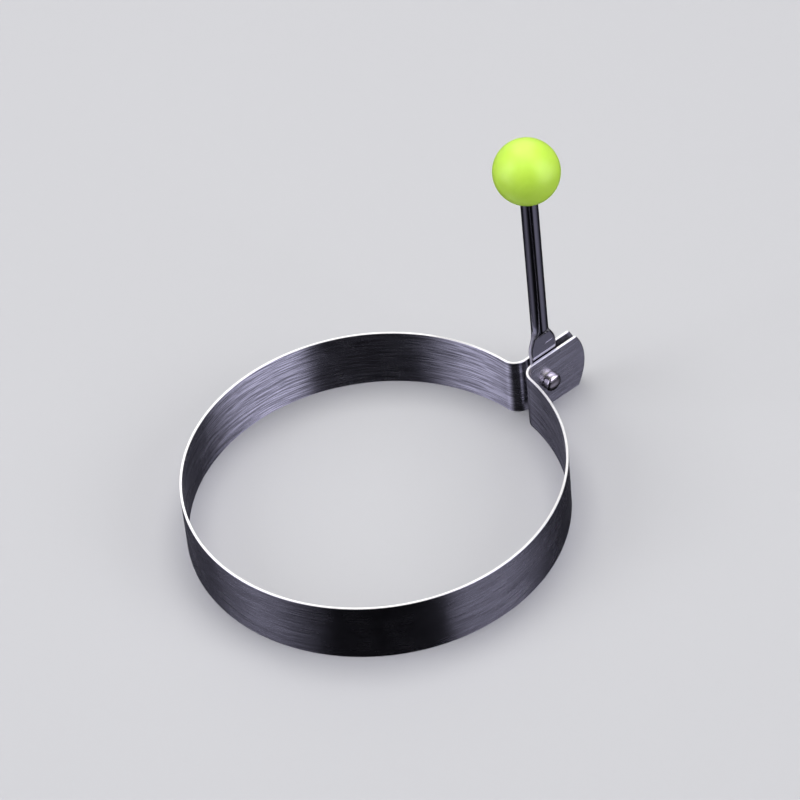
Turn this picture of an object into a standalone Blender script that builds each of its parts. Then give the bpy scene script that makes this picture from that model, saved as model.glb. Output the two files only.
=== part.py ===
"""An egg ring with a handle that folds down.

One steel strip is bent round into a ring, and its two ends are bent outward into a pair of ears.
A rivet through the ears carries the handle, a steel rod whose foot is pressed flat to fit between
them, and a plastic ball is pushed on the rod's top. The rivet's axis runs along Y, the ears point along
+X, and the origin is on the surface that the ring stands on, below the middle of its box.
"""
import math

import bmesh
import bpy
from mathutils import Vector

# The ring's strip, in metres. The ring is longer along the ears than across by twice its stretch.
ring_outer_radius = 0.0426
ring_stretch = 0.0092
band_gauge = 0.0006
band_height = 0.015
bend_inner_radius = 0.003

# The pair of ears, measured from the ring's outer radius
ear_gap = 0.0018
ear_length = 0.0163
ear_end_bulge = 0.0022

# The hinge's rivet
rivet_distance = 0.00765
rivet_shank_radius = 0.0011
rivet_head_radius = 0.00215
near_head_height = 0.0018
far_head_height = 0.0012
head_skirt_share = 0.55

# The handle's rod, and its foot, which is pressed flat
rod_radius = 0.00195
rod_offset = 0.0001
foot_to_ear_gap = 0.00025
foot_half_width = 0.0038
foot_shift = 0.0002
foot_tail = 0.004

# Above the ears, where the foot narrows to the rod and where its flats end
taper_rise = 0.0023
taper_length = 0.0062
flat_rise = 0.006
ramp_length = 0.0028

# The ball, and how the handle leans: in over the ring, and sideways above its foot
ball_radius = 0.0074
ball_rise = 0.0637
ball_grip = 0.0094
handle_lean = math.radians(2)
rod_sway = math.radians(1.6)

# Clearances between pieces, and how far a cutter runs past what it cuts
fit_gap = 0.0003
cut_overrun = 0.001
merge_distance = 0.00001

# Counts
ring_steps = 168
bend_steps = 12
ear_end_steps = 20
rivet_steps = 48
dome_steps = 7
tail_rows = 10
shoulder_rows = 8
rod_side_steps = 12
ball_segments = 56
ball_rings = 32

# What follows from the sizes
band_middle_radius = ring_outer_radius - band_gauge / 2
bend_middle_radius = bend_inner_radius + band_gauge / 2
ear_middle = (ear_gap + band_gauge) / 2
ear_outside = ear_gap / 2 + band_gauge
ear_corner_reach = ring_outer_radius + ear_length
ear_tip_reach = ear_corner_reach + ear_end_bulge
ring_back_reach = band_middle_radius * (1 + ring_stretch) + band_gauge / 2
ring_centre_x = (ring_back_reach - ear_tip_reach) / 2
rivet_x = ring_centre_x + ring_outer_radius + rivet_distance
rivet_z = band_height / 2
rivet_hole_radius = rivet_shank_radius + fit_gap
foot_half_gauge = ear_gap / 2 - foot_to_ear_gap
ears_top = band_height - rivet_z
taper_start = ears_top + taper_rise
flat_end = ears_top + flat_rise
rod_top = ball_rise - ball_radius + ball_grip


def clear_scene():
    for old in list(bpy.data.objects):
        bpy.data.objects.remove(old)


def collection(name):
    made = bpy.data.collections.new(name)
    bpy.context.scene.collection.children.link(made)
    return made


def material(name, colour, roughness, metallic):
    made = bpy.data.materials.new(name)
    made.use_nodes = True
    shader = made.node_tree.nodes["Principled BSDF"]
    shader.inputs["Base Color"].default_value = (*colour, 1)
    shader.inputs["Roughness"].default_value = roughness
    shader.inputs["Metallic"].default_value = metallic
    return made


def add_part(name, mesh, finish):
    mesh.materials.append(finish)
    mesh.shade_smooth()
    mesh.set_sharp_from_angle(angle=math.radians(35))
    made = bpy.data.objects.new(name, mesh)
    parts.objects.link(made)
    return made


def add_cutter(name, mesh):
    made = bpy.data.objects.new(name, mesh)
    made.hide_render = True
    made.display_type = "WIRE"
    cutters.objects.link(made)
    return made


def cut(part, cutter):
    step = part.modifiers.new(cutter.name, "BOOLEAN")
    step.operation = "DIFFERENCE"
    step.solver = "EXACT"
    step.object = cutter


def give_thickness(part, gauge):
    step = part.modifiers.new("gauge", "SOLIDIFY")
    step.thickness = gauge
    step.offset = 0
    step.use_even_offset = True


def curve_mesh(name, points, half_depth, closed):
    """A flat curve through points, drawn up by half_depth each way, as a mesh."""
    curve = bpy.data.curves.new(name, "CURVE")
    curve.dimensions = "2D"
    curve.fill_mode = "BOTH" if closed else "NONE"
    curve.extrude = half_depth
    spline = curve.splines.new("POLY")
    spline.points.add(len(points) - 1)
    for place, (x, y) in zip(spline.points, points):
        place.co = (x, y, 0, 1)
    spline.use_cyclic_u = closed
    guide = bpy.data.objects.new(name, curve)
    cutters.objects.link(guide)
    evaluated = guide.evaluated_get(bpy.context.evaluated_depsgraph_get())
    mesh = bpy.data.meshes.new_from_object(evaluated)
    bpy.data.objects.remove(guide)
    weld = bmesh.new()
    weld.from_mesh(mesh)
    bmesh.ops.remove_doubles(weld, verts=weld.verts, dist=merge_distance)
    bmesh.ops.recalc_face_normals(weld, faces=weld.faces)
    weld.to_mesh(mesh)
    weld.free()
    return mesh


def rivet_cylinder(name, radius, half_length):
    """A cylinder on the rivet's axis."""
    mesh = bpy.data.meshes.new(name)
    build = bmesh.new()
    bmesh.ops.create_cone(build, cap_ends=True, segments=rivet_steps, radius1=radius,
                          radius2=radius, depth=2 * half_length)
    build.to_mesh(mesh)
    build.free()
    made = add_cutter(name, mesh)
    made.location = (rivet_x, 0, rivet_z)
    made.rotation_euler = (math.pi / 2, 0, 0)
    return made


def arc(centre, radius, start, end, steps):
    """Points along an arc in the plane, from one angle to the other."""
    angles = [start + (end - start) * i / steps for i in range(steps + 1)]
    return [(centre[0] + radius * math.cos(a), centre[1] + radius * math.sin(a)) for a in angles]


def band_path():
    """The strip's middle line seen from above, from the end of one ear to the end of the other."""
    centre_y = ear_middle / (1 - ring_stretch) + bend_middle_radius
    centre_x = math.sqrt((band_middle_radius + bend_middle_radius) ** 2 - centre_y ** 2)
    meets = math.atan2(centre_y, centre_x)
    far_bend = arc((centre_x, centre_y), bend_middle_radius, -math.pi / 2, meets - math.pi, bend_steps)
    ring = arc((0, 0), band_middle_radius, meets, 2 * math.pi - meets, ring_steps)
    near_bend = [(x, -y) for x, y in reversed(far_bend)]
    line = [(ring_centre_x + x * (1 + ring_stretch), y * (1 - ring_stretch))
            for x, y in far_bend + ring[1:-1] + near_bend]
    end_x = ring_centre_x + ear_tip_reach + cut_overrun
    return [(end_x, ear_middle)] + line + [(end_x, -ear_middle)]


def ear_end_cutter():
    """What lies beyond the ears' round ends, as a plate across both of them."""
    half = band_height / 2
    radius = (half ** 2 + ear_end_bulge ** 2) / (2 * ear_end_bulge)
    centre = (ring_centre_x + ear_tip_reach - radius, rivet_z)
    swing = math.atan2(half, ear_corner_reach + ring_centre_x - centre[0])
    edge = arc(centre, radius, -swing, swing, ear_end_steps)
    past_end = ring_centre_x + ear_tip_reach + 3 * cut_overrun
    below = (edge[0][0], -cut_overrun)
    above = (edge[-1][0], band_height + cut_overrun)
    outline = [below] + edge + [above, (past_end, above[1]), (past_end, below[1])]
    mesh = curve_mesh("ear_ends", outline, ear_outside + cut_overrun, True)
    made = add_cutter("ear_ends", mesh)
    made.rotation_euler = (math.pi / 2, 0, 0)
    return made


def make_ring_band():
    mesh = curve_mesh("ring_band", band_path(), band_height / 2, False)
    band = add_part("ring_band", mesh, band_steel)
    band.location = (0, 0, band_height / 2)
    give_thickness(band, band_gauge)
    cut(band, ear_end_cutter())
    cut(band, rivet_cylinder("ear_holes", rivet_hole_radius, ear_outside + cut_overrun))


def dome(height, steps):
    """A rivet head's rounded top, from its middle out to its skirt, as (radius, height)."""
    skirt = height * head_skirt_share
    return [(rivet_head_radius * math.sin(math.pi / 2 * i / steps),
             skirt + (height - skirt) * math.cos(math.pi / 2 * i / steps)) for i in range(steps + 1)]


def make_hinge_rivet():
    """The rivet is turned about its axis, from the near head's middle to the far head's."""
    seat = ear_outside + fit_gap
    near = [(r, seat + h) for r, h in dome(near_head_height, dome_steps)]
    far = [(r, -seat - h) for r, h in reversed(dome(far_head_height, dome_steps))]
    near += [(rivet_head_radius, seat), (rivet_shank_radius, seat)]
    far = [(rivet_shank_radius, -seat), (rivet_head_radius, -seat)] + far
    profile = near + far
    mesh = bpy.data.meshes.new("hinge_rivet")
    edges = [(i, i + 1) for i in range(len(profile) - 1)]
    mesh.from_pydata([(r, 0, z) for r, z in profile], edges, [])
    rivet = add_part("hinge_rivet", mesh, rivet_steel)
    turn = rivet.modifiers.new("turn", "SCREW")
    turn.steps = rivet_steps
    turn.render_steps = rivet_steps
    turn.use_merge_vertices = True
    turn.merge_threshold = merge_distance
    rivet.location = (rivet_x, 0, rivet_z)
    rivet.rotation_euler = (math.pi / 2, 0, 0)


def ease(share):
    """A smooth step from 0 to 1."""
    share = min(max(share, 0), 1)
    return share * share * (3 - 2 * share)


def rod_middle(z):
    """The rod's middle in the pivot's space, at a height from the rivet."""
    shift = foot_shift * (1 - ease((z - taper_start) / taper_length))
    return Vector((shift - rod_offset, -max(z - flat_end, 0) * math.tan(rod_sway), z))


def rod_halves(z):
    """Half the rod's width along the ears and half its thickness across them, at a height."""
    drop = min(max(foot_half_width - foot_tail - z, 0), foot_half_width)
    narrowing = foot_half_width - math.sqrt(foot_half_width ** 2 - drop ** 2)
    taper = ease((z - taper_start) / taper_length)
    width = foot_half_width + (rod_radius - foot_half_width) * taper - narrowing
    thickness = foot_half_gauge + (rod_radius - foot_half_gauge) * ease((z - flat_end) / ramp_length)
    return width, min(thickness, width)


def rod_section(z):
    """The rod's outline at a height: two half circles, joined by flats where it is pressed."""
    width, thickness = rod_halves(z)
    right = arc((width - thickness, 0), thickness, -math.pi / 2, math.pi / 2, rod_side_steps)
    outline = right + [(-x, -y) for x, y in right]
    return [rod_middle(z) + Vector((x, y, 0)) for x, y in outline]


def rod_heights():
    """The rows' heights from the rivet: the round tail, the shoulder and the top."""
    tail = [foot_half_width - foot_tail - foot_half_width * math.cos(math.pi / 2 * i / (tail_rows + 1))
            for i in range(1, tail_rows + 2)]
    start = min(taper_start, flat_end)
    end = max(taper_start + taper_length, flat_end + ramp_length)
    below = [start + (flat_end - start) * i / shoulder_rows for i in range(shoulder_rows)]
    above = [flat_end + (end - flat_end) * i / shoulder_rows for i in range(shoulder_rows + 1)]
    return tail + below + above + [rod_top]


def make_handle_rod():
    """The handle's rod, drawn as a loft between its flat foot and its round stem."""
    build = bmesh.new()
    rows = [[build.verts.new(point) for point in rod_section(z)] for z in rod_heights()]
    columns = len(rows[0])
    for low, high in zip(rows, rows[1:]):
        for i in range(columns):
            j = (i + 1) % columns
            build.faces.new((low[i], low[j], high[j], high[i]))
    build.faces.new(reversed(rows[0]))
    build.faces.new(rows[-1])
    bmesh.ops.remove_doubles(build, verts=build.verts, dist=merge_distance)
    mesh = bpy.data.meshes.new("handle_rod")
    build.to_mesh(mesh)
    build.free()
    rod = add_part("handle_rod", mesh, handle_steel)
    rod.parent = pivot
    cut(rod, rivet_cylinder("foot_hole", rivet_hole_radius, ear_outside + cut_overrun))


def make_ball_knob():
    mesh = bpy.data.meshes.new("ball_knob")
    build = bmesh.new()
    bmesh.ops.create_uvsphere(build, u_segments=ball_segments, v_segments=ball_rings, radius=ball_radius)
    build.to_mesh(mesh)
    build.free()
    ball = add_part("ball_knob", mesh, ball_plastic)
    ball.location = rod_middle(ball_rise)
    ball.parent = pivot

    hole_top = rod_top + fit_gap
    hole_bottom = ball_rise - ball_radius - cut_overrun
    hole = bpy.data.meshes.new("ball_hole")
    build = bmesh.new()
    bmesh.ops.create_cone(build, cap_ends=True, segments=rivet_steps, radius1=rod_radius + fit_gap,
                          radius2=rod_radius + fit_gap, depth=hole_top - hole_bottom)
    build.to_mesh(hole)
    build.free()
    cutter = add_cutter("ball_hole", hole)
    cutter.location = rod_middle((hole_top + hole_bottom) / 2)
    cutter.rotation_euler = (rod_sway, 0, 0)
    cutter.parent = pivot
    cut(ball, cutter)


clear_scene()
parts = collection("egg_ring")
cutters = collection("egg_ring_cutters")
band_steel = material("brushed_steel", (0.55, 0.55, 0.58), 0.32, 1)
handle_steel = material("polished_steel", (0.5, 0.5, 0.53), 0.22, 1)
rivet_steel = material("bright_steel", (0.75, 0.74, 0.73), 0.18, 1)
ball_plastic = material("lime_plastic", (0.47, 0.83, 0.05), 0.38, 0)

pivot = bpy.data.objects.new("handle_pivot", None)
pivot.location = (rivet_x, 0, rivet_z)
pivot.rotation_euler = (0, -handle_lean, 0)
parts.objects.link(pivot)

make_ring_band()
make_hinge_rivet()
make_handle_rod()
make_ball_knob()
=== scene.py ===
import math

import bmesh
import bpy
from mathutils import Matrix, Vector


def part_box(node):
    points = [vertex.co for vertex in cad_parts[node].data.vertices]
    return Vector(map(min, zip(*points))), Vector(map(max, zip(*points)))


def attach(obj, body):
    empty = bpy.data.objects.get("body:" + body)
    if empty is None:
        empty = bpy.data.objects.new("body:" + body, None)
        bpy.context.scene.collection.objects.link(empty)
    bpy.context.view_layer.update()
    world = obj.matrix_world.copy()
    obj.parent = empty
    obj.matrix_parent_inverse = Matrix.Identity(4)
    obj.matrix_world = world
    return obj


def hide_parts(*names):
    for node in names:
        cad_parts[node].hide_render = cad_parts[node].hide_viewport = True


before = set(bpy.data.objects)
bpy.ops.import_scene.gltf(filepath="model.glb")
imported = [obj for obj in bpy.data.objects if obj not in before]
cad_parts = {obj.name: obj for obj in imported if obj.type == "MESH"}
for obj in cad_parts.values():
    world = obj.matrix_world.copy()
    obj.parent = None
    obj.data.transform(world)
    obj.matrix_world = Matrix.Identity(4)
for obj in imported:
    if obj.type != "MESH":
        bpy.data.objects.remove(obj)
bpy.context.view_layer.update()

# The ring band
# One strip of stainless sheet, bent round into a ring with both its ends turned out into ears.
# It is sheared from a satin coil, so its faces are brushed along its length and its cut edges,
# with their slightly rounded corners, are bare and rougher, and painted a lighter colour as a highlight.
mm = 0.001
band_low, band_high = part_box("ring_band")
band_height = band_high.z
band_gauge = 0.6 * mm
ring_stretch = 0.0092
band_radius = (band_high.y - band_gauge / 2) / (1 - ring_stretch)
band_centre = Vector((band_low.x + band_gauge / 2 + band_radius * (1 + ring_stretch), 0, 0))
bend_radius = 3.3 * mm
ear_gap = 1.8 * mm
ear_middle = (ear_gap + band_gauge) / 2
ear_bulge = 2.2 * mm
ear_corner = 0.3 * mm
rivet_low, rivet_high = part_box("hinge_rivet")
rivet_axis = Vector(((rivet_low.x + rivet_high.x) / 2, 0, (rivet_low.z + rivet_high.z) / 2))
rivet_shank = 1.1 * mm
press_gap = 0.02 * mm
sheared_corner = 0.1 * mm
ear_end_corner = 0.28 * mm
weld_distance = 0.0005 * mm
sharp_angle = math.radians(35)


def put(tree, kind, inputs=None, **settings):
    """A node in a tree, with its settings made and values or links put into its inputs."""
    node = tree.nodes.new(kind)
    for name, value in settings.items():
        setattr(node, name, value)
    for name, value in (inputs or {}).items():
        if isinstance(value, bpy.types.NodeSocket):
            tree.links.new(value, node.inputs[name])
        else:
            node.inputs[name].default_value = value
    return node


def calc(tree, operation, *values):
    """The result of one sum on values or sockets."""
    return put(tree, "ShaderNodeMath", dict(enumerate(values)), operation=operation).outputs[0]


def new_tree(name, kind, inputs, outputs):
    """A node tree with named inputs and outputs, and the nodes at its two ends."""
    tree = bpy.data.node_groups.new(name, kind)
    for label, socket in inputs.items():
        tree.interface.new_socket(label, in_out="INPUT", socket_type="NodeSocket" + socket)
    for label, socket in outputs.items():
        tree.interface.new_socket(label, in_out="OUTPUT", socket_type="NodeSocket" + socket)
    return tree, put(tree, "NodeGroupInput").outputs, put(tree, "NodeGroupOutput")


def new_piece(name, mesh):
    piece = bpy.data.objects.new(name, mesh)
    bpy.context.scene.collection.objects.link(piece)
    return piece


def make_plain(piece):
    """Puts what a piece's modifiers make into its mesh, welded and with its faces outwards."""
    evaluated = piece.evaluated_get(bpy.context.evaluated_depsgraph_get())
    mesh = bpy.data.meshes.new_from_object(evaluated)
    piece.modifiers.clear()
    weld = bmesh.new()
    weld.from_mesh(mesh)
    bmesh.ops.remove_doubles(weld, verts=weld.verts, dist=weld_distance)
    bmesh.ops.recalc_face_normals(weld, faces=weld.faces)
    weld.to_mesh(mesh)
    weld.free()
    mesh.shade_smooth()
    mesh.set_sharp_from_angle(angle=sharp_angle)
    piece.data = mesh


def grow(piece, tree, values):
    """Runs a geometry tree on a piece with the named values, and keeps the result as its mesh."""
    step = piece.modifiers.new(tree.name, "NODES")
    step.node_group = tree
    for item in tree.interface.items_tree:
        if item.in_out == "INPUT" and item.name in values:
            step[item.identifier] = values[item.name]
    make_plain(piece)


def dress(piece, body, node, finish):
    """Gives a finished piece its material, and its place in the frame."""
    piece.data.materials.clear()
    piece.data.materials.append(finish)
    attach(piece, body)
    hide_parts(node)


def sheared_section(gauge, height, corner, rows, corner_steps):
    """The sheet's cross-section as a closed line, with its rows closest near the cut edges."""
    points = []
    flat_half = height / 2 - corner
    for turn, (side, end) in enumerate(((1, -1), (1, 1), (-1, 1), (-1, -1))):
        for i in range(corner_steps + 1):
            angle = math.pi / 2 * (turn - 1 + i / corner_steps)
            points.append((side * (gauge / 2 - corner) + corner * math.cos(angle),
                           end * flat_half + corner * math.sin(angle)))
        if turn in (0, 2):
            for i in range(1, rows):
                points.append((side * gauge / 2, -side * flat_half * math.cos(math.pi * i / rows)))
    return points


def stored(tree, name):
    """A number that a geometry tree kept on each point."""
    return put(tree, "GeometryNodeInputNamedAttribute", {"Name": name}, data_type="FLOAT").outputs[0]


def make_strip_tree():
    """Sweeps a cross-section along the ring, round both bends and out along both ears."""
    sizes = {name: "Float" for name in (
        "Ring Radius", "Stretch", "Bend Radius", "Ear Middle", "Ear Tip", "End Bulge", "End Corner", "Height",
        "Gauge", "End Edge Corner", "Hole Radius", "Hole Distance", "Weld Distance")}
    counts = {name: "Int" for name in ("Ring Steps", "Bend Steps", "Ear Steps", "Hole Steps")}
    tree, given, end = new_tree(
        "bent_strip", "GeometryNodeTree",
        {"Geometry": "Geometry", **sizes, **counts, "Place": "Vector", "Material": "Material"},
        {"Geometry": "Geometry"})

    # The path, from the ring's middle: an arc for the ring and one for each bend, drawn out along the
    # ears and in across them, and a straight for each ear, with its points closest at the tip
    longer = calc(tree, "ADD", 1, given["Stretch"])
    narrower = calc(tree, "SUBTRACT", 1, given["Stretch"])
    bend_y = calc(tree, "ADD", calc(tree, "DIVIDE", given["Ear Middle"], narrower), given["Bend Radius"])
    reach = calc(tree, "ADD", given["Ring Radius"], given["Bend Radius"])
    round_x = calc(tree, "SQRT", calc(tree, "SUBTRACT", calc(tree, "POWER", reach, 2),
                                      calc(tree, "POWER", bend_y, 2)))
    bend_x = calc(tree, "MULTIPLY", round_x, longer)
    meets = calc(tree, "ARCTAN2", bend_y, round_x)
    ring = put(tree, "GeometryNodeCurveArc", {
        "Resolution": calc(tree, "ADD", given["Ring Steps"], 1), "Radius": given["Ring Radius"],
        "Start Angle": meets, "Sweep Angle": calc(tree, "MULTIPLY_ADD", meets, -2, 2 * math.pi)})
    bend = put(tree, "GeometryNodeCurveArc", {
        "Resolution": calc(tree, "ADD", given["Bend Steps"], 1), "Radius": given["Bend Radius"],
        "Start Angle": -math.pi / 2, "Sweep Angle": calc(tree, "SUBTRACT", meets, math.pi / 2)})
    bend_place = put(tree, "ShaderNodeCombineXYZ", {"X": round_x, "Y": bend_y})
    bend = put(tree, "GeometryNodeTransform", {
        "Geometry": bend.outputs[0], "Translation": bend_place.outputs[0]})
    other_bend = put(tree, "GeometryNodeTransform", {"Geometry": bend.outputs[0], "Scale": (1, -1, 1)})
    loop = put(tree, "GeometryNodeJoinGeometry")
    for part in (ring, bend, other_bend):
        tree.links.new(part.outputs[0], loop.inputs[0])
    stretch = put(tree, "ShaderNodeCombineXYZ", {"X": longer, "Y": narrower, "Z": 1.0})
    loop = put(tree, "GeometryNodeTransform", {"Geometry": loop.outputs[0], "Scale": stretch.outputs[0]})
    root = put(tree, "ShaderNodeCombineXYZ", {"X": bend_x, "Y": given["Ear Middle"]})
    tip = put(tree, "ShaderNodeCombineXYZ", {"X": given["Ear Tip"], "Y": given["Ear Middle"]})
    ear = put(tree, "GeometryNodeCurvePrimitiveLine", {"Start": tip.outputs[0], "End": root.outputs[0]})
    ear = put(tree, "GeometryNodeResampleCurve", {
        "Curve": ear.outputs[0], "Count": calc(tree, "ADD", given["Ear Steps"], 1)})
    share = put(tree, "GeometryNodeSplineParameter").outputs["Factor"]
    crowded = calc(tree, "SUBTRACT", 1, calc(tree, "COSINE", calc(tree, "MULTIPLY", share, math.pi / 2)))
    ear_length = calc(tree, "SUBTRACT", given["Ear Tip"], bend_x)
    crowded_x = calc(tree, "SUBTRACT", given["Ear Tip"], calc(tree, "MULTIPLY", ear_length, crowded))
    crowded_place = put(tree, "ShaderNodeCombineXYZ", {"X": crowded_x, "Y": given["Ear Middle"]})
    ear = put(tree, "GeometryNodeSetPosition", {
        "Geometry": ear.outputs[0], "Position": crowded_place.outputs[0]})
    other_ear = put(tree, "GeometryNodeTransform", {"Geometry": ear.outputs[0], "Scale": (1, -1, 1)})
    path = put(tree, "GeometryNodeJoinGeometry")
    for part in (loop, ear, other_ear):
        tree.links.new(part.outputs[0], path.inputs[0])
    path = put(tree, "GeometryNodeCurveToMesh", {"Curve": path.outputs[0]})
    path = put(tree, "GeometryNodeMergeByDistance", {
        "Geometry": path.outputs[0], "Distance": given["Weld Distance"]})
    path = put(tree, "GeometryNodeMeshToCurve", {"Mesh": path.outputs[0]})
    path = put(tree, "GeometryNodeSetCurveNormal", {"Curve": path.outputs[0]}, mode="Z_UP")

    # How far each point is from the nearer end of the strip
    passed = put(tree, "GeometryNodeSplineParameter").outputs["Length"]
    whole = put(tree, "GeometryNodeSplineLength").outputs["Length"]
    left = calc(tree, "MINIMUM", passed, calc(tree, "SUBTRACT", whole, passed))
    path = put(tree, "GeometryNodeStoreNamedAttribute", {
        "Geometry": path.outputs[0], "Name": "from_end", "Value": left}, data_type="FLOAT", domain="POINT")
    path = put(tree, "GeometryNodeStoreNamedAttribute", {
        "Geometry": path.outputs[0], "Name": "half_way", "Value": calc(tree, "DIVIDE", whole, 2)},
        data_type="FLOAT", domain="POINT")
    section = put(tree, "GeometryNodeMeshToCurve", {"Mesh": given["Geometry"]})
    strip = put(tree, "GeometryNodeCurveToMesh", {
        "Curve": path.outputs[0], "Profile Curve": section.outputs[0]})

    # Each ear's end is drawn back to an arc with rounded corners, and its thickness closes there
    from_end = stored(tree, "from_end")
    place = put(tree, "ShaderNodeSeparateXYZ", {0: put(tree, "GeometryNodeInputPosition").outputs[0]}).outputs
    half = calc(tree, "DIVIDE", given["Height"], 2)
    arc_radius = calc(tree, "DIVIDE", calc(tree, "ADD", calc(tree, "POWER", half, 2),
                                           calc(tree, "POWER", given["End Bulge"], 2)),
                      calc(tree, "MULTIPLY", given["End Bulge"], 2))
    arc = calc(tree, "SUBTRACT", arc_radius, calc(tree, "SQRT", calc(
        tree, "SUBTRACT", calc(tree, "POWER", arc_radius, 2), calc(tree, "POWER", place["Z"], 2))))
    corner_share = calc(tree, "DIVIDE", calc(tree, "SUBTRACT", calc(tree, "ABSOLUTE", place["Z"]), calc(
        tree, "SUBTRACT", half, given["End Corner"])), given["End Corner"])
    corner_share = put(tree, "ShaderNodeClamp", {0: corner_share}).outputs[0]
    corner_drop = calc(tree, "SUBTRACT", 1, calc(tree, "SQRT", calc(
        tree, "MAXIMUM", 0, calc(tree, "SUBTRACT", 1, calc(tree, "POWER", corner_share, 2)))))
    drawn_back = calc(tree, "MULTIPLY_ADD", corner_drop, calc(tree, "DIVIDE", given["End Corner"], 2), arc)
    fade = put(tree, "ShaderNodeMapRange", {
        0: from_end, 1: given["Gauge"], 2: given["Height"], 3: 1.0, 4: 0.0}).outputs[0]
    drawn_x = calc(tree, "SUBTRACT", place["X"], calc(tree, "MULTIPLY", drawn_back, fade))
    near_side = calc(tree, "SIGN", place["Y"])
    edge_corner = given["End Edge Corner"]
    inset = calc(tree, "SUBTRACT", edge_corner, calc(tree, "MINIMUM", from_end, edge_corner))
    flat_half = calc(tree, "SUBTRACT", calc(tree, "DIVIDE", given["Gauge"], 2), edge_corner)
    round_half = calc(tree, "SQRT", calc(tree, "SUBTRACT", calc(tree, "POWER", edge_corner, 2),
                                         calc(tree, "POWER", inset, 2)))
    closing = calc(tree, "DIVIDE", calc(tree, "ADD", flat_half, round_half),
                   calc(tree, "DIVIDE", given["Gauge"], 2))
    closing = calc(tree, "MULTIPLY", closing, calc(tree, "GREATER_THAN", from_end, given["Weld Distance"]))
    middle_y = calc(tree, "MULTIPLY", near_side, given["Ear Middle"])
    closed_y = calc(tree, "MULTIPLY_ADD", calc(tree, "SUBTRACT", place["Y"], middle_y), closing, middle_y)
    moved = put(tree, "ShaderNodeCombineXYZ", {"X": drawn_x, "Y": closed_y, "Z": place["Z"]})
    on_ear = calc(tree, "LESS_THAN", from_end, ear_length)
    strip = put(tree, "GeometryNodeSetPosition", {
        "Geometry": strip.outputs[0], "Selection": on_ear, "Position": moved.outputs[0]})
    strip = put(tree, "GeometryNodeMergeByDistance", {
        "Geometry": strip.outputs[0], "Distance": given["Weld Distance"]})

    # The rivet's holes, punched through both ears
    punch = put(tree, "GeometryNodeMeshCylinder", {
        "Vertices": given["Hole Steps"], "Radius": given["Hole Radius"], "Depth": given["Ring Radius"]})
    punch_place = put(tree, "ShaderNodeCombineXYZ", {"X": given["Hole Distance"]})
    punch = put(tree, "GeometryNodeTransform", {
        "Geometry": punch.outputs[0], "Translation": punch_place.outputs[0], "Rotation": (math.pi / 2, 0, 0)})
    strip = put(tree, "GeometryNodeMeshBoolean", {0: strip.outputs[0], 1: punch.outputs[0]},
                operation="DIFFERENCE", solver="EXACT")

    # Where each point lies on the flat strip: along it, through its thickness and up it
    on_straight = calc(tree, "GREATER_THAN", place["X"], bend_x)
    straight_end = calc(tree, "SUBTRACT", given["Ear Tip"], place["X"])
    true_end = put(tree, "ShaderNodeMix", {0: on_straight, 2: from_end, 3: straight_end}).outputs[0]
    half_way = stored(tree, "half_way")
    along = calc(tree, "MULTIPLY", calc(tree, "SUBTRACT", half_way, true_end), near_side)
    across = stored(tree, "across")
    sheet = put(tree, "ShaderNodeCombineXYZ", {"X": along, "Y": across, "Z": place["Z"]})
    strip = put(tree, "GeometryNodeStoreNamedAttribute", {
        "Geometry": strip.outputs[0], "Name": "strip", "Value": sheet.outputs[0]},
        data_type="FLOAT_VECTOR", domain="POINT")
    strip = put(tree, "GeometryNodeTransform", {
        "Geometry": strip.outputs[0], "Translation": given["Place"]})
    strip = put(tree, "GeometryNodeRealizeInstances", {"Geometry": strip.outputs[0]})
    strip = put(tree, "GeometryNodeSetMaterial", {
        "Geometry": strip.outputs[0], "Material": given["Material"]})
    tree.links.new(strip.outputs[0], end.inputs[0])
    return tree


def make_grain_group():
    """Lines drawn along a place's first axis, fine and broad, which cross at a slant."""
    tree, given, end = new_tree(
        "drawn_grain", "ShaderNodeTree",
        {"Place": "Vector", "Line Width": "Float", "Line Length": "Float", "Band Width": "Float",
         "Slant": "Float"},
        {"Shade": "Float"})
    place = put(tree, "ShaderNodeSeparateXYZ", {0: given["Place"]}).outputs
    layers = []
    for layer, stretch, detail, side in (("Line Width", 1.0, 2.0, 1), ("Band Width", 2.0, 3.0, -1)):
        width = given[layer]
        length = calc(tree, "MULTIPLY", given["Line Length"], stretch)
        slope = calc(tree, "MULTIPLY", given["Slant"], side)
        slanted = calc(tree, "MULTIPLY_ADD", place["X"], slope, place["Z"])
        scaled = put(tree, "ShaderNodeCombineXYZ", {
            "X": calc(tree, "DIVIDE", place["X"], length), "Y": calc(tree, "DIVIDE", place["Y"], width),
            "Z": calc(tree, "DIVIDE", slanted, width)})
        layers.append(put(tree, "ShaderNodeTexNoise", {
            "Vector": scaled.outputs[0], "Scale": 1.0, "Detail": detail, "Roughness": 0.6}).outputs["Fac"])
    fine, broad = layers
    fine_share = 0.6
    shade = calc(tree, "MULTIPLY_ADD", fine, fine_share, calc(tree, "MULTIPLY", broad, 1 - fine_share))
    tree.links.new(shade, end.inputs["Shade"])
    return tree


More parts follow.
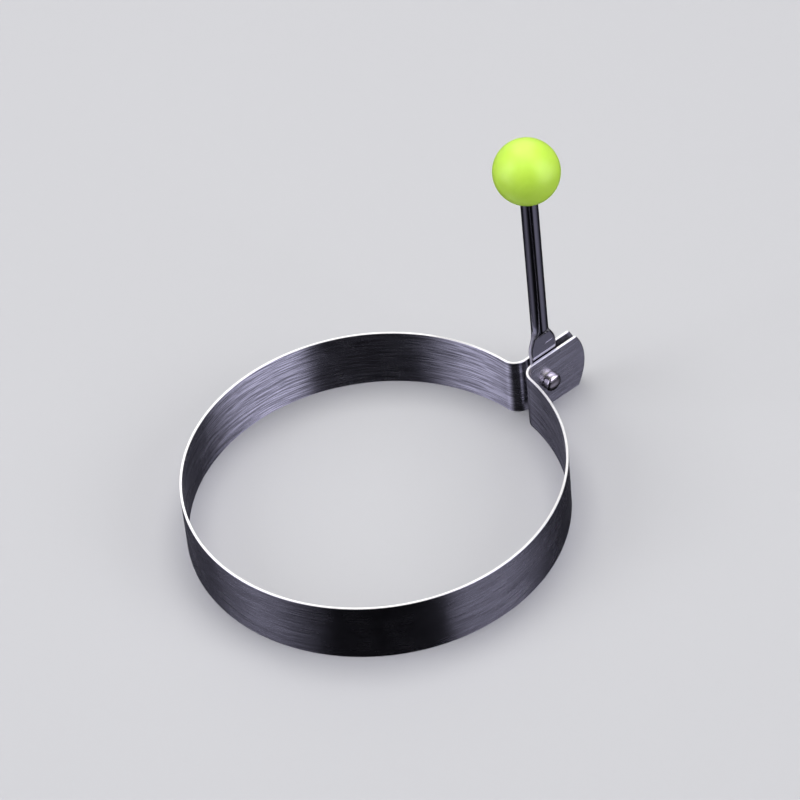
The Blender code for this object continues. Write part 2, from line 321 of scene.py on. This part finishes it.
def make_handling_group():
    """Faint smears and specks of use, from 0 to 1."""
    tree, given, end = new_tree(
        "handling_marks", "ShaderNodeTree",
        {"Place": "Vector", "Smear Size": "Float"}, {"Smear": "Float", "Speck": "Float"})
    grown = put(tree, "ShaderNodeVectorMath", {0: given["Place"], "Scale": 1.0}, operation="SCALE")
    tree.links.new(calc(tree, "DIVIDE", 1.0, given["Smear Size"]), grown.inputs["Scale"])
    smear = put(tree, "ShaderNodeTexNoise", {"Vector": grown.outputs[0], "Scale": 1.0, "Detail": 4.0,
                                             "Roughness": 0.55, "Distortion": 0.6})
    speck = put(tree, "ShaderNodeTexNoise", {"Vector": grown.outputs[0], "Scale": 14.0, "Detail": 2.0})
    speck = put(tree, "ShaderNodeMapRange", {0: speck.outputs["Fac"], 1: 0.68, 2: 0.76})
    tree.links.new(smear.outputs["Fac"], end.inputs["Smear"])
    tree.links.new(speck.outputs[0], end.inputs["Speck"])
    return tree


def group_node(tree, group, inputs):
    """A shader group in a material, with the values that this material gives it."""
    return put(tree, "ShaderNodeGroup", inputs, node_tree=group).outputs


def spread(tree, value, low, high, start=0.3, end=0.7):
    """Maps a noise, which stays near its middle, to a range."""
    return put(tree, "ShaderNodeMapRange", {0: value, 1: start, 2: end, 3: low, 4: high}).outputs[0]


def tint(tree, share, first, second):
    """A colour between two colours."""
    node = put(tree, "ShaderNodeMix", data_type="RGBA")
    tree.links.new(share, node.inputs["Factor"])
    node.inputs["A"].default_value = (*first, 1)
    node.inputs["B"].default_value = (*second, 1)
    return node.outputs["Result"]


def new_finish(name):
    """A material, with its tree and its shader."""
    finish = bpy.data.materials.new(name)
    finish.use_nodes = True
    return finish, finish.node_tree, finish.node_tree.nodes["Principled BSDF"].inputs


def bare_edges_with_highlight(tree, edge, colour, rough, bare_rough):
    """A finish's colour and roughness, with rougher bare steel, painted a light colour as a highlight, where
    the edge mask is 1.
    """
    mixed = put(tree, "ShaderNodeMix", {0: edge}, data_type="RGBA")
    tree.links.new(colour, mixed.inputs["A"])
    mixed.inputs["B"].default_value = (*bare_steel_and_highlight_colour, 1)
    rough = put(tree, "ShaderNodeMix", {0: edge, 2: rough, 3: bare_rough}).outputs[0]
    return mixed.outputs["Result"], rough


def bump(tree, height, distance, under=None):
    """The normal of a surface with a fine relief, on top of a coarser one where there is one."""
    node = put(tree, "ShaderNodeBump", {"Height": height, "Distance": distance, "Strength": 1.0})
    if under:
        tree.links.new(under, node.inputs["Normal"])
    return node.outputs[0]


grain = make_grain_group()
handling = make_handling_group()
# Bare steel's colour, lightened as a painted highlight for the cut edges
bare_steel_and_highlight_colour = (0.86, 0.85, 0.84)
satin_dark = (0.14, 0.14, 0.149)
satin_light = (0.90, 0.90, 0.93)
inside_grain = 0.72
outside_grain = 0.45
ear_grain = 0.45
ring_grain_end = 125 * mm
ear_grain_start = 133 * mm


def make_band_steel():
    finish, tree, shader = new_finish("satin_band_steel")
    strip = put(tree, "ShaderNodeAttribute", attribute_name="strip").outputs["Vector"]
    lines = group_node(tree, grain, {
        "Place": strip, "Line Width": 0.2 * mm, "Line Length": 7 * mm, "Band Width": 0.4 * mm,
        "Slant": 0.05})
    marks = group_node(tree, handling, {"Place": strip, "Smear Size": 9 * mm})
    axes = put(tree, "ShaderNodeSeparateXYZ", {0: strip}).outputs
    # The cut edges' mask: rougher bare steel there, painted a lighter colour as a highlight
    edge = put(tree, "ShaderNodeMapRange", {
        0: calc(tree, "ABSOLUTE", axes["Z"]), 1: band_height / 2 - 1.6 * sheared_corner,
        2: band_height / 2 - 0.6 * sheared_corner}).outputs[0]

    # The lines are strongest inside the ring, and weaker on its outside and on the ears, which start
    # that far along the strip from its middle
    ring_grain = put(tree, "ShaderNodeMapRange", {
        0: axes["Y"], 1: -band_gauge / 3, 2: band_gauge / 3, 3: outside_grain, 4: inside_grain}).outputs[0]
    depth = put(tree, "ShaderNodeMapRange", {
        0: calc(tree, "ABSOLUTE", axes["X"]), 1: ring_grain_end, 2: ear_grain_start, 3: ring_grain,
        4: ear_grain}).outputs[0]
    shade = calc(tree, "SUBTRACT", spread(tree, lines["Shade"], 0, 1, start=0.42, end=0.58), 0.5)
    shade = calc(tree, "MULTIPLY_ADD", shade, depth, 0.5)
    satin = tint(tree, shade, satin_dark, satin_light)
    rough = calc(tree, "ADD", spread(tree, lines["Shade"], 0.27, 0.21),
                 spread(tree, marks["Smear"], -0.02, 0.04))
    satin, rough = bare_edges_with_highlight(tree, edge, satin, rough, 0.42)
    tree.links.new(satin, shader["Base Color"])
    tree.links.new(rough, shader["Roughness"])
    shader["Metallic"].default_value = 1
    shader["Anisotropic"].default_value = 0.75
    up_wall = put(tree, "ShaderNodeCombineXYZ", {"X": 0.02, "Y": 0.02, "Z": 1.0})
    tree.links.new(up_wall.outputs[0], shader["Tangent"])
    tree.links.new(bump(tree, lines["Shade"], 0.004 * mm), shader["Normal"])
    return finish


band_steel = make_band_steel()
section = sheared_section(band_gauge, band_height, sheared_corner, 24, 4)
flat = bpy.data.meshes.new("egg_band")
flat.from_pydata([(x, y, 0) for x, y in section],
                 [(i, (i + 1) % len(section)) for i in range(len(section))], [])
across = flat.attributes.new("across", "FLOAT", "POINT")
across.data.foreach_set("value", [x for x, y in section])
band = new_piece("egg_band", flat)
grow(band, make_strip_tree(), {
    "Ring Radius": band_radius, "Stretch": ring_stretch, "Bend Radius": bend_radius,
    "Ear Middle": ear_middle, "Ear Tip": band_high.x - band_centre.x, "End Bulge": ear_bulge,
    "End Corner": ear_corner, "Height": band_height, "Gauge": band_gauge,
    "End Edge Corner": ear_end_corner, "Hole Radius": rivet_shank + press_gap,
    "Hole Distance": rivet_axis.x - band_centre.x, "Weld Distance": weld_distance, "Ring Steps": 640,
    "Bend Steps": 24, "Ear Steps": 52, "Hole Steps": 48,
    "Place": band_centre + Vector((0, 0, band_height / 2)), "Material": band_steel})
dress(band, "ring", "ring_band", band_steel)

# The ear rivet
# A solid stainless rivet, turned, put through both ears and the handle's foot and peened over.
# Its near head is a short cylinder with a domed end, and its far head is lower.
rivet_head = 2.15 * mm
near_head_rise = 2.1 * mm
far_head_rise = 1.5 * mm
skirt_share = 0.61
rivet_chamfer = 0.07 * mm
chamfer_middle_shares = (0.4, 0.3)
head_seat = ear_middle + band_gauge / 2 + press_gap / 2
rivet_turn = Matrix.Translation(rivet_axis) @ Matrix.Rotation(math.pi / 2, 4, "X")
rivet_dark = (0.64, 0.605, 0.585)
rivet_light = (0.84, 0.79, 0.765)


def rivet_head_profile(rise, steps):
    """A head's outline from the middle of its top out to its seat, as (radius, height)."""
    skirt = rise * skirt_share
    outline = []
    for i in range(steps + 1):
        angle = math.pi / 2 * i / steps
        outline.append((rivet_head * math.sin(angle), skirt + (rise - skirt) * math.cos(angle)))
    in_share, up_share = chamfer_middle_shares
    return outline + [(rivet_head, rivet_chamfer),
                      (rivet_head - rivet_chamfer * in_share, rivet_chamfer * up_share),
                      (rivet_head - rivet_chamfer, 0)]


def as_mesh(build, name, place=Matrix()):
    """A mesh of what was built, put in its place."""
    mesh = bpy.data.meshes.new(name)
    build.to_mesh(mesh)
    build.free()
    mesh.transform(place)
    return mesh


def as_shell(build, name, place):
    """A closed mesh of what was built, welded and with its faces outwards."""
    bmesh.ops.remove_doubles(build, verts=build.verts, dist=weld_distance)
    bmesh.ops.recalc_face_normals(build, faces=build.faces)
    return as_mesh(build, name, place)


def turned_mesh(name, profile, steps, place):
    """A mesh turned about Z from a profile of (radius, height) that starts and ends on the axis."""
    build = bmesh.new()
    verts = [build.verts.new((r, 0, z)) for r, z in profile]
    edges = [build.edges.new(pair) for pair in zip(verts, verts[1:])]
    bmesh.ops.spin(build, geom=verts + edges, axis=(0, 0, 1), cent=(0, 0, 0), angle=2 * math.pi,
                   steps=steps, use_merge=True)
    return as_shell(build, name, place)


def make_rivet_steel():
    finish, tree, shader = new_finish("bright_rivet_steel")
    place = put(tree, "ShaderNodeTexCoord").outputs["Object"]
    centred = put(tree, "ShaderNodeMapping", {"Vector": place, "Location": -rivet_axis}).outputs[0]
    axes = put(tree, "ShaderNodeSeparateXYZ", {0: centred}).outputs
    out = calc(tree, "SQRT", calc(tree, "ADD", calc(tree, "POWER", axes["X"], 2),
                                  calc(tree, "POWER", axes["Z"], 2)))
    turned = put(tree, "ShaderNodeCombineXYZ", {"X": 0.0, "Y": axes["Y"], "Z": out}).outputs[0]
    lines = group_node(tree, grain, {
        "Place": turned, "Line Width": 0.09 * mm, "Line Length": 5 * mm, "Band Width": 0.35 * mm})
    marks = group_node(tree, handling, {"Place": centred, "Smear Size": 1.3 * mm})
    warm = tint(tree, spread(tree, lines["Shade"], 0, 1), rivet_dark, rivet_light)
    tree.links.new(warm, shader["Base Color"])
    rough = calc(tree, "ADD", spread(tree, lines["Shade"], 0.15, 0.21),
                 calc(tree, "MULTIPLY", marks["Speck"], 0.1))
    tree.links.new(rough, shader["Roughness"])
    shader["Metallic"].default_value = 1
    dents = bump(tree, marks["Smear"], 0.03 * mm)
    tree.links.new(bump(tree, lines["Shade"], 0.003 * mm, dents), shader["Normal"])
    return finish


near_half = [(r, head_seat + h) for r, h in rivet_head_profile(near_head_rise, 18)]
far_half = [(r, -head_seat - h) for r, h in reversed(rivet_head_profile(far_head_rise, 18))]
rivet_profile = near_half + [(rivet_shank, head_seat), (rivet_shank, -head_seat)] + far_half
rivet_mesh = turned_mesh("ear_rivet", rivet_profile, 72, rivet_turn)
rivet_mesh.shade_smooth()
rivet_mesh.set_sharp_from_angle(angle=sharp_angle)
rivet = new_piece("ear_rivet", rivet_mesh)
dress(rivet, "ring", "hinge_rivet", make_rivet_steel())

# The rod handle
# A straight rod of polished stainless steel. Its lower end is pressed flat between two dies, so that
# it fits between the ears, and it turns on the rivet there. Its upper end carries the ball.
rod_radius = 1.95 * mm
rod_offset = 0.1 * mm
foot_to_ear_gap = 0.25 * mm
foot_half_width = 3.8 * mm
foot_shift = 0.2 * mm
foot_tail = 4.0 * mm
taper_rise = 2.3 * mm
taper_length = 6.2 * mm
flat_rise = 6.0 * mm
ramp_length = 2.6 * mm
ramp_kink = 1.2
die_mark_rise = 3.15 * mm
die_mark_reach = 3.0 * mm
die_mark_height = 0.06 * mm
die_mark_width = 0.09 * mm
die_mark_margin = 3 * die_mark_width
die_mark_fade_share = 0.125
ball_radius = 7.4 * mm
ball_rise = 63.7 * mm
ball_grip = 9.4 * mm
handle_lean = math.radians(2)
rod_sway = math.radians(1.6)
ears_top = band_height - rivet_axis.z
flat_end = ears_top + flat_rise
taper_start = ears_top + taper_rise
rod_top = ball_rise - ball_radius + ball_grip
foot_half_gauge = ear_gap / 2 - foot_to_ear_gap
handle_turn = Matrix.Translation(rivet_axis) @ Matrix.Rotation(-handle_lean, 4, "Y")
# Painted shade: the rod's steel colours are darker than the band's and the rivet's, for the dark surroundings
# that the rod mirrors
painted_shade_rod_dark = (0.33, 0.33, 0.355)
painted_shade_rod_light = (0.41, 0.41, 0.435)


def ease(share, kink=0.0):
    """A step from 0 to 1 that starts with a slope and ends without one."""
    share = min(max(share, 0), 1)
    return kink * share + (3 - 2 * kink) * share ** 2 + (kink - 2) * share ** 3


def rod_middle(z):
    """The rod's middle at a height from the rivet: it leans sideways above its flats."""
    shift = foot_shift * (1 - ease((z - taper_start) / taper_length))
    return Vector((shift - rod_offset, -max(z - flat_end, 0) * math.tan(rod_sway), z))


def rod_halves(z):
    """Half the rod's width along the ears and half its thickness across them, at a height."""
    drop = min(max(foot_half_width - foot_tail - z, 0), foot_half_width)
    narrowing = foot_half_width - math.sqrt(foot_half_width ** 2 - drop ** 2)
    taper = ease((z - taper_start) / taper_length)
    width = foot_half_width + (rod_radius - foot_half_width) * taper - narrowing
    ramp = ease((z - flat_end) / ramp_length, ramp_kink)
    return width, min(foot_half_gauge + (rod_radius - foot_half_gauge) * ramp, width)


def die_mark(x, z):
    """How far the line that the die's edge left stands out of the near flat."""
    across = abs(z - ears_top - die_mark_rise) / die_mark_width
    along = min(max(x, 0), max(die_mark_reach - x, 0)) / die_mark_reach
    return die_mark_height * math.exp(-across ** 2) * min(1, along / die_mark_fade_share)


def rod_section(z, side_steps, flat_steps):
    """The rod's outline at a height: two half circles, joined by flats where it is pressed."""
    width, thickness = rod_halves(z)
    outline = []
    for side in (1, -1):
        for i in range(side_steps + 1):
            angle = math.pi * (i / side_steps - 0.5)
            outline.append(Vector((side * (width - thickness + thickness * math.cos(angle)),
                                   side * thickness * math.sin(angle), z)))
        for i in range(1, flat_steps):
            x = side * (width - thickness) * (1 - 2 * i / flat_steps)
            lift = die_mark(x, z) if side < 0 else 0
            outline.append(Vector((x, side * thickness - lift, z)))
    return [rod_middle(z) + Vector((p.x, p.y, 0)) for p in outline]


def rod_heights(tail_steps):
    """The heights of the rod's sections: closest at the round tail, the die's mark and the ramp."""
    heights = []
    for i in range(1, tail_steps + 1):
        angle = math.pi / 2 * i / tail_steps
        heights.append(foot_half_width - foot_tail - foot_half_width * math.cos(angle))
    mark_low = ears_top + die_mark_rise - die_mark_margin
    mark_high = ears_top + die_mark_rise + die_mark_margin
    ramp_end = flat_end + ramp_length
    low = heights[-1]
    for high, steps in ((taper_start, 12), (mark_low, 8), (mark_high, 16), (flat_end, 20), (ramp_end, 40),
                        (rod_top, 40)):
        heights += [low + (high - low) * i / steps for i in range(1, steps + 1)]
        low = high
    return heights


def make_rod_mesh():
    build = bmesh.new()
    rows = [[build.verts.new(point) for point in rod_section(z, 32, 24)] for z in rod_heights(20)]
    for low, high in zip(rows, rows[1:]):
        for i in range(len(low)):
            j = (i + 1) % len(low)
            build.faces.new((low[i], low[j], high[j], high[i]))
    build.faces.new(rows[0])
    build.faces.new(rows[-1])
    return as_shell(build, "rod_handle", handle_turn)


def cut_out(piece, cutter):
    """Takes a cutter's shape out of a piece."""
    step = piece.modifiers.new("cut", "BOOLEAN")
    step.operation = "DIFFERENCE"
    step.solver = "EXACT"
    step.object = cutter
    make_plain(piece)
    bpy.data.objects.remove(cutter)


def cylinder_cutter(radius, length, steps, place):
    build = bmesh.new()
    bmesh.ops.create_cone(build, cap_ends=True, segments=steps, radius1=radius, radius2=radius,
                          depth=length)
    return new_piece("cutter", as_mesh(build, "cutter", place))


def make_rod_steel():
    finish, tree, shader = new_finish("polished_rod_steel")
    place = put(tree, "ShaderNodeTexCoord").outputs["Object"]
    axes = put(tree, "ShaderNodeSeparateXYZ", {0: place}).outputs
    drawn = put(tree, "ShaderNodeCombineXYZ", {"X": axes["Z"], "Y": axes["X"], "Z": axes["Y"]}).outputs[0]
    lines = group_node(tree, grain, {
        "Place": drawn, "Line Width": 0.13 * mm, "Line Length": 14 * mm, "Band Width": 0.5 * mm})
    marks = group_node(tree, handling, {"Place": place, "Smear Size": 5 * mm})
    polished = tint(tree, spread(tree, lines["Shade"], 0, 1), painted_shade_rod_dark, painted_shade_rod_light)
    rough = calc(tree, "ADD", spread(tree, lines["Shade"], 0.13, 0.09),
                 spread(tree, marks["Smear"], -0.02, 0.05))

    # Painted highlight: on the pressed foot, the two side edges that face along the ears get a bright colour
    # and a rougher bare finish
    facing = put(tree, "ShaderNodeTexCoord").outputs["Normal"]
    along_ears = put(tree, "ShaderNodeSeparateXYZ", {0: facing}).outputs["X"]
    sideways = put(tree, "ShaderNodeMapRange", {
        0: calc(tree, "ABSOLUTE", along_ears), 1: 0.55, 2: 0.85}).outputs[0]
    taper_end = rivet_axis.z + taper_start + taper_length
    pressed = put(tree, "ShaderNodeMapRange", {
        0: axes["Z"], 1: taper_end, 2: taper_end - taper_rise}).outputs[0]
    edge = calc(tree, "MULTIPLY", sideways, pressed)
    polished, rough = bare_edges_with_highlight(tree, edge, polished, rough, 0.36)
    tree.links.new(polished, shader["Base Color"])
    tree.links.new(rough, shader["Roughness"])
    shader["Metallic"].default_value = 1
    tree.links.new(bump(tree, lines["Shade"], 0.0015 * mm), shader["Normal"])
    return finish


handle = new_piece("rod_handle", make_rod_mesh())
cut_out(handle, cylinder_cutter(rivet_shank + press_gap, 8 * ear_middle, 48, rivet_turn))
dress(handle, "handle", "handle_rod", make_rod_steel())

# The ball
# An injection-moulded ball of lime green plastic with a satin skin and a round hole in its underside,
# pushed tight on the handle's rod. A fine seam shows where the mould's halves met.
hole_gap = 0.04 * mm
seam_rise = 0.01 * mm
seam_half_width = 0.06 * mm
lime_deep = (0.56, 0.86, 0.065)
lime_pale = (0.60, 0.90, 0.08)


def make_ball_mesh():
    build = bmesh.new()
    bmesh.ops.create_icosphere(build, subdivisions=7, radius=ball_radius)
    for vert in build.verts:
        near_seam = max(0, 1 - abs(vert.co.y) / seam_half_width)
        vert.co += vert.co.normalized() * (seam_rise * near_seam - seam_rise)
    return as_mesh(build, "lime_ball", handle_turn @ Matrix.Translation(rod_middle(ball_rise)))


def make_ball_plastic():
    finish, tree, shader = new_finish("lime_ball_plastic")
    place = put(tree, "ShaderNodeTexCoord").outputs["Object"]
    marks = group_node(tree, handling, {"Place": place, "Smear Size": 4 * mm})
    skin = put(tree, "ShaderNodeTexNoise", {
        "Vector": place, "Scale": 4200.0, "Detail": 3.0, "Roughness": 0.55}).outputs["Fac"]
    lime = tint(tree, spread(tree, marks["Smear"], 0, 1), lime_deep, lime_pale)
    tree.links.new(lime, shader["Base Color"])
    rough = calc(tree, "ADD", spread(tree, marks["Smear"], 0.30, 0.36), spread(tree, skin, -0.03, 0.03))
    tree.links.new(rough, shader["Roughness"])
    shader["Subsurface Weight"].default_value = 0.12
    shader["Subsurface Radius"].default_value = (0.6, 1.0, 0.15)
    shader["Subsurface Scale"].default_value = 1.2 * mm
    tree.links.new(bump(tree, skin, 0.002 * mm), shader["Normal"])
    return finish


ball = new_piece("lime_ball", make_ball_mesh())
hole_length = ball_grip + ball_radius
hole_middle = rod_middle(rod_top + hole_gap - hole_length / 2)
hole_place = handle_turn @ Matrix.Translation(hole_middle) @ Matrix.Rotation(rod_sway, 4, "X")
cut_out(ball, cylinder_cutter(rod_radius + hole_gap, hole_length, 96, hole_place))
dress(ball, "handle", "ball_knob", make_ball_plastic())

# The studio
# A plain pale floor, soft light from above and both sides, and a camera where the photograph's was.
camera_place = Vector((-0.40798, -0.5418, 0.68799))
camera_forward = Vector((0.43137, 0.57292, -0.69691)).normalized()
camera_up = Vector((0.49901, 0.49204, 0.71337))
focal_pixels = 4356.7
frame_pixels = 800
sensor_width = 36


def aim(forward, up):
    """The turn that points a camera or a lamp along forward."""
    back = -forward.normalized()
    right = up.cross(back).normalized()
    return Matrix((right, back.cross(right), back)).transposed().to_4x4()


camera_data = bpy.data.cameras.new("camera")
camera_data.lens = focal_pixels / frame_pixels * sensor_width
camera_data.sensor_width = sensor_width
camera_data.clip_start = 0.01
camera_data.clip_end = 20
camera = bpy.data.objects.new("camera", camera_data)
bpy.context.scene.collection.objects.link(camera)
camera.matrix_world = Matrix.Translation(camera_place) @ aim(camera_forward, camera_up)
bpy.context.scene.camera = camera


def lamp(name, place, size, power, colour):
    """A square soft box that faces the ring. The steel doesn't mirror it."""
    data = bpy.data.lights.new(name, "AREA")
    data.shape = "SQUARE"
    data.size = size
    data.energy = power
    data.color = colour
    made = bpy.data.objects.new(name, data)
    bpy.context.scene.collection.objects.link(made)
    made.matrix_world = Matrix.Translation(place) @ aim(-Vector(place), Vector((0, 0.01, 1)))
    made.visible_glossy = False


lamp("top_light", (0.1, 0.15, 1.1), 1.0, 11, (1, 0.99, 0.98))
lamp("left_light", (-0.9, 0.5, 0.7), 0.7, 4.8, (0.97, 0.98, 1))
lamp("right_light", (0.45, -0.95, 0.7), 0.7, 4.8, (0.97, 0.98, 1))


def plain_stage(name, mesh, finish):
    mesh.materials.append(finish)
    made = new_piece(name, mesh)
    return made


def stage_finish(name, kind, inputs=None):
    """A material of one shader: a glow, or a see-through one that dims what is behind it."""
    finish = bpy.data.materials.new(name)
    finish.use_nodes = True
    tree = finish.node_tree
    tree.nodes.clear()
    shader = put(tree, kind, inputs)
    tree.links.new(shader.outputs[0], put(tree, "ShaderNodeOutputMaterial").inputs[0])
    return finish, tree, shader.inputs


def mirrored_only(made):
    """Keeps a stage piece for reflections alone."""
    made.visible_camera = False
    made.visible_diffuse = False
    made.visible_shadow = False
    made.visible_transmission = False


build = bmesh.new()
bmesh.ops.create_grid(build, x_segments=1, y_segments=1, size=3)
floor_finish, floor_shader = new_finish("pale_floor")[::2]
floor_shader["Base Color"].default_value = (0.5, 0.5, 0.512, 1)
floor_shader["Roughness"].default_value = 0.7
floor = plain_stage("floor", as_mesh(build, "floor"), floor_finish)
floor.visible_glossy = False

# Round the ring, the wall that the steel mirrors: two lit sides with dark between them. The sides are
# brighter above the floor's level than below it, where a smooth surface would mirror them weakly.
wall_radius = 1.6
wall_height = 12
green_share = 0.97
blue_share = 1.3
side_light = {0: 0.036, 45: 0.055, 75: 0.085, 105: 0.085, 122: 0.12, 136: 0.38, 156: 0.52, 170: 0.50,
              178: 0.28, 188: 0.16, 195: 0.06, 202: 0.014, 261: 0.014, 267: 0.022, 271: 0.38, 279: 0.60,
              305: 0.58, 318: 0.42, 328: 0.27, 339: 0.15, 346: 0.035}
build = bmesh.new()
bmesh.ops.create_cone(build, cap_ends=False, segments=96, radius1=wall_radius, radius2=wall_radius,
                      depth=wall_height)
wall_finish, wall_tree, wall_glow = stage_finish("studio_wall", "ShaderNodeEmission")
wall_place = put(wall_tree, "ShaderNodeTexCoord").outputs["Object"]
wall_axes = put(wall_tree, "ShaderNodeSeparateXYZ", {0: wall_place}).outputs
bearing = calc(wall_tree, "ARCTAN2", wall_axes["Y"], wall_axes["X"])
bearing = calc(wall_tree, "ADD", calc(wall_tree, "DIVIDE", bearing, 2 * math.pi), 1.0)
bearing = calc(wall_tree, "FRACT", bearing)
ramp = put(wall_tree, "ShaderNodeValToRGB", {"Fac": bearing})
stops = ramp.color_ramp.elements
stops.remove(stops[-1])
for angle, brightness in side_light.items():
    stop = stops.new(angle / 360) if angle else stops[0]
    stop.color = (brightness, brightness * green_share, brightness * blue_share, 1)
wall_tree.links.new(ramp.outputs[0], wall_glow["Color"])
above_floor = put(wall_tree, "ShaderNodeMapRange", {
    0: wall_axes["Z"], 1: -0.35, 2: -0.1, 3: 1.0, 4: 4.0}).outputs[0]
wall_tree.links.new(above_floor, wall_glow["Strength"])
mirrored_only(plain_stage("studio_wall", as_mesh(build, "studio_wall"), wall_finish))


def mirrored_disc(name, radius, place, colour, strength):
    """A round card with an even glow, which only reflections show."""
    build = bmesh.new()
    bmesh.ops.create_circle(build, cap_ends=True, segments=48, radius=radius)
    finish = stage_finish(name, "ShaderNodeEmission", {"Color": (*colour, 1), "Strength": strength})[0]
    mirrored_only(plain_stage(name, as_mesh(build, name, place), finish))


# A bright card above, where the ring's cut edges mirror it, and a weaker ceiling over the whole studio
card_direction = Vector((0.6, 0.8, 0.97)).normalized()
card_distance = 1.35
ceiling_rise = 1.9
card_place = Matrix.Translation(card_direction * card_distance) @ aim(card_direction, Vector((0, 0, 1)))
mirrored_disc("edge_card", 0.75, card_place, (1, 0.995, 0.985), 2.0)
mirrored_disc("studio_ceiling", 1.5, Matrix.Translation((0, 0, ceiling_rise)), (1, 1, 1), 0.7)

# A dark sheet round the ring, at the floor's level, which dims what the ring's outside mirrors: most of
# all in front, and where it is looked at steeply or at a grazing angle
sheet_radius = 0.2
sheet_drop = 1 * mm
sheet_front = (-0.62, -0.785, 0)
build = bmesh.new()
bmesh.ops.create_circle(build, segments=96, radius=band_radius)
bmesh.ops.create_circle(build, segments=96, radius=sheet_radius)
bmesh.ops.bridge_loops(build, edges=build.edges)
sheet_mesh = as_mesh(build, "dark_sheet", Matrix.Translation(band_centre - Vector((0, 0, sheet_drop))))
sheet_finish, sheet_tree, sheet_dim = stage_finish("dark_sheet", "ShaderNodeBsdfTransparent")
from_ring = put(sheet_tree, "ShaderNodeMapping", {
    "Vector": put(sheet_tree, "ShaderNodeTexCoord").outputs["Object"], "Location": -band_centre}).outputs[0]
outward = put(sheet_tree, "ShaderNodeVectorMath", {0: from_ring}, operation="NORMALIZE").outputs[0]
frontward = put(sheet_tree, "ShaderNodeVectorMath", {0: outward, 1: sheet_front}, operation="DOT_PRODUCT")
let_through = put(sheet_tree, "ShaderNodeMapRange", {
    0: frontward.outputs["Value"], 1: 0.925, 2: 0.966, 3: 0.45, 4: 0.08}).outputs[0]
slope = put(sheet_tree, "ShaderNodeLayerWeight", {"Blend": 0.5}).outputs["Facing"]
steep = put(sheet_tree, "ShaderNodeMapRange", {0: slope, 1: 0.17, 2: 0.28, 3: 0.05, 4: 1.0}).outputs[0]
grazing = put(sheet_tree, "ShaderNodeMapRange", {0: slope, 1: 0.34, 2: 0.55, 3: 1.0, 4: 0.3}).outputs[0]
let_through = calc(sheet_tree, "MULTIPLY", let_through, calc(sheet_tree, "MULTIPLY", steep, grazing))
sheet_tree.links.new(let_through, sheet_dim["Color"])
mirrored_only(plain_stage("dark_sheet", sheet_mesh, sheet_finish))

# A dim card that stands close to the rod on its left, so that the rod mirrors less of the left light
card_front = -9 * mm
card_back = 30 * mm
card_height = 43 * mm
card_corner = rivet_axis + Vector((-7 * mm, 0, 12 * mm))
rod_card_mesh = bpy.data.meshes.new("rod_card")
rod_card_mesh.from_pydata([(0, card_front, 0), (0, card_back, 0), (0, card_back, card_height),
                           (0, card_front, card_height)], [], [(0, 1, 2, 3)])
rod_card_mesh.transform(Matrix.Translation(card_corner))
rod_card_finish = stage_finish("rod_card", "ShaderNodeBsdfTransparent", {"Color": (0.36, 0.36, 0.36, 1)})[0]
mirrored_only(plain_stage("rod_card", rod_card_mesh, rod_card_finish))

world = bpy.data.worlds.new("soft_studio")
world.use_nodes = True
world.node_tree.nodes["Background"].inputs["Color"].default_value = (0.9, 0.93, 1, 1)
world.node_tree.nodes["Background"].inputs["Strength"].default_value = 0.25
bpy.context.scene.world = world

# The lime would turn pale in a filmic view
bpy.context.scene.view_settings.view_transform = "Standard"
